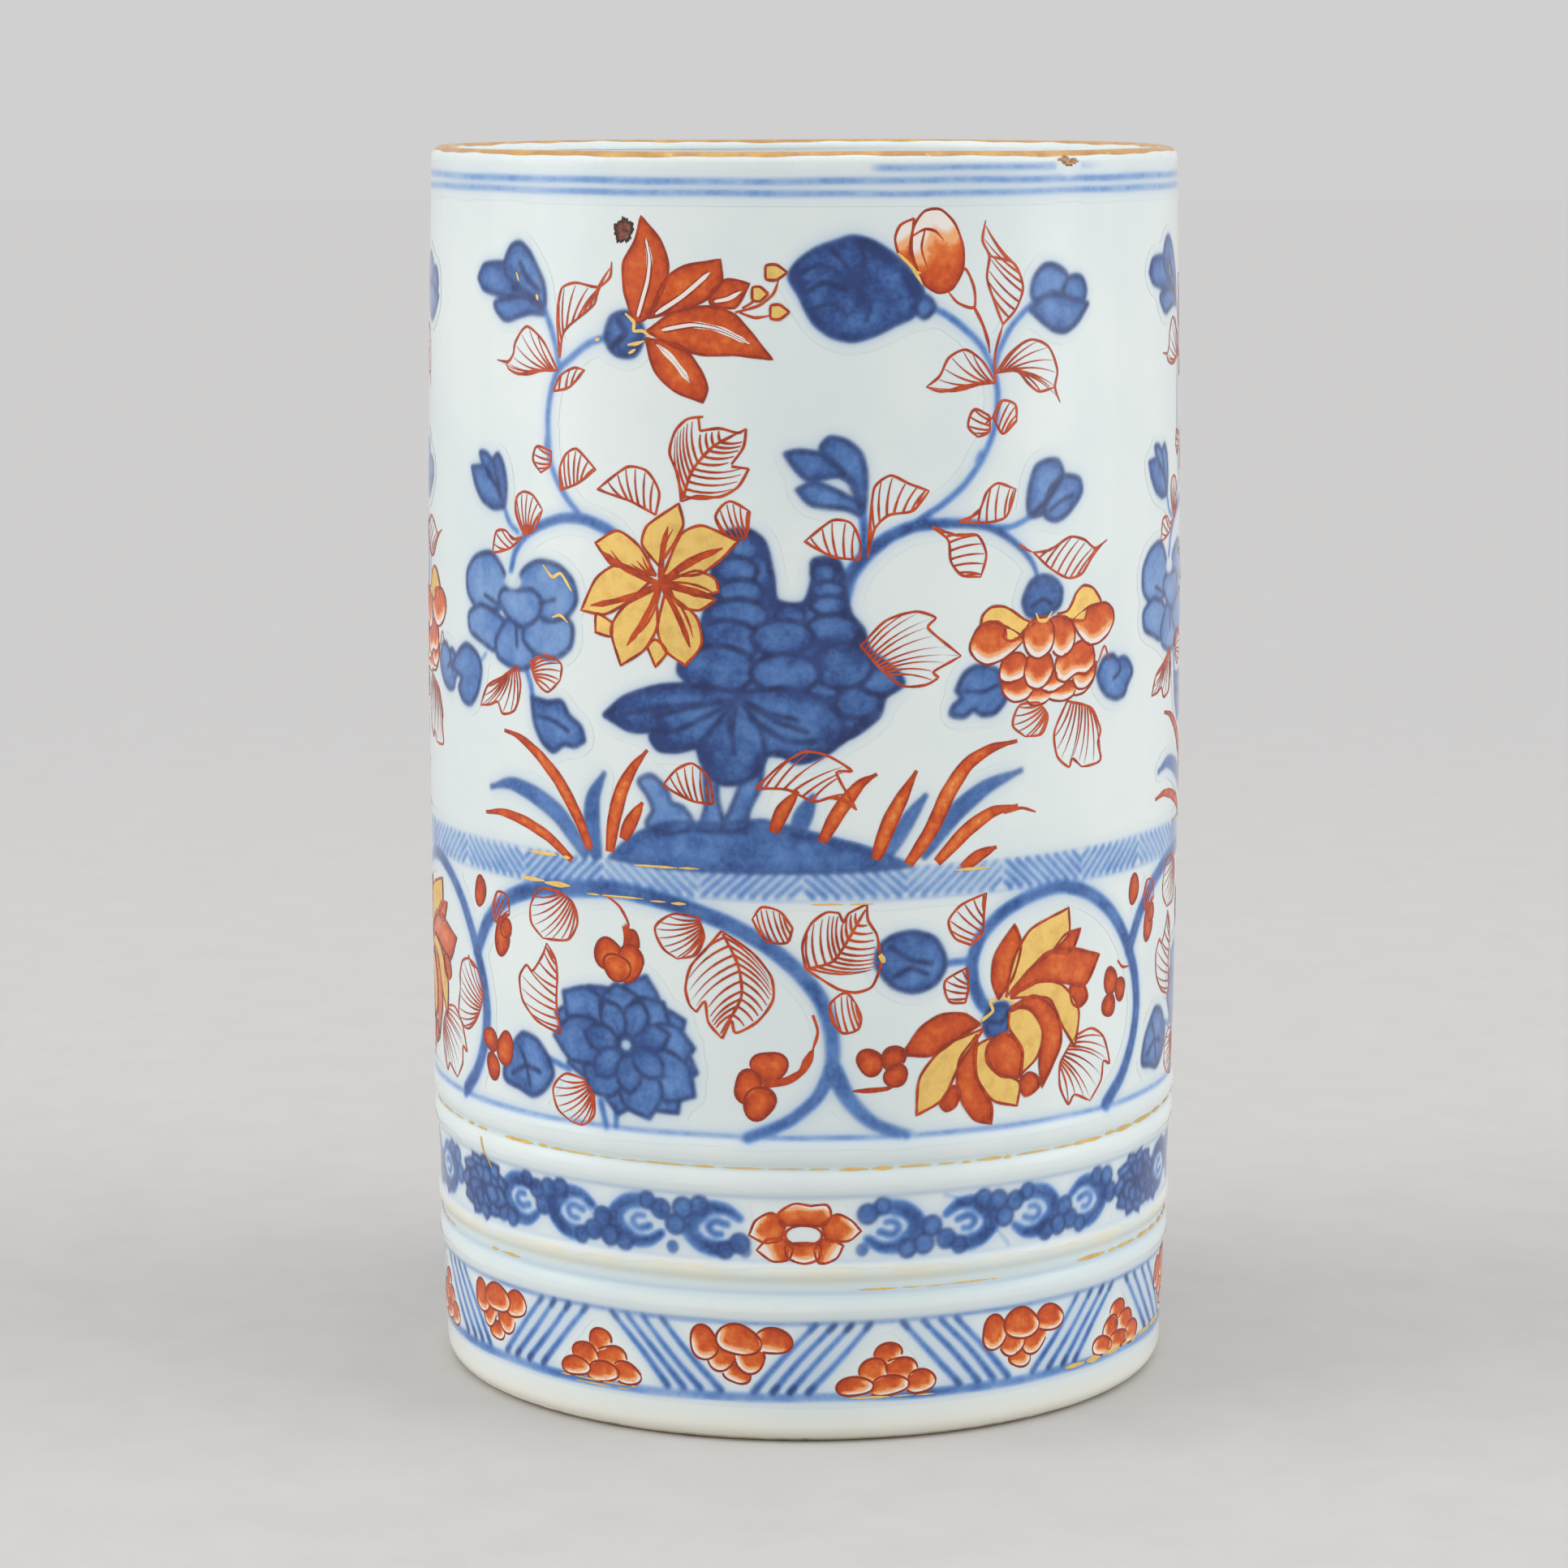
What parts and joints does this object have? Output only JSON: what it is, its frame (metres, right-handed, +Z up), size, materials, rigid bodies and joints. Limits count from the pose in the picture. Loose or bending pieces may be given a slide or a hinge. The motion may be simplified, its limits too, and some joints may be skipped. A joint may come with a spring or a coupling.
{
  "type": "brush holder pot",
  "caption": "Tall cylindrical glazed porcelain pot for standing writing brushes in, with two turned mouldings near its foot, painted in blue, iron red and gold.",
  "frame": {"origin": "centre of the foot's resting plane, on the pot's axis", "axes": "+Z up along the pot's axis; -Y is the side the main painted panel faces"},
  "size_m": [0.1148, 0.1148, 0.186],
  "materials": {
    "porcelain_body": "fired porcelain under the glaze",
    "bare_clay": "unglazed, smooth and slightly rusty",
    "glaze": "glossy, bluish white",
    "lip_brown": "ochre brown dressing, worn",
    "cobalt": "painted under the glaze, soft edged",
    "iron_red": "painted over the glaze, satin",
    "gilding": "thin fired gilding, worn"
  },
  "bodies": {
    "root": {"clay_wall": "porcelain_body", "floor_slab": "porcelain_body", "foot_ring": "bare_clay", "outer_glaze": "glaze", "inner_glaze": "glaze", "base_glaze": "glaze", "lip_dressing": "lip_brown", "rim_line_upper": "cobalt", "rim_line_lower": "cobalt", "upper_gilt_ring": "gilding", "lower_gilt_ring": "gilding", "foot_gilt_ring": "gilding"}
  },
  "joints": []
}
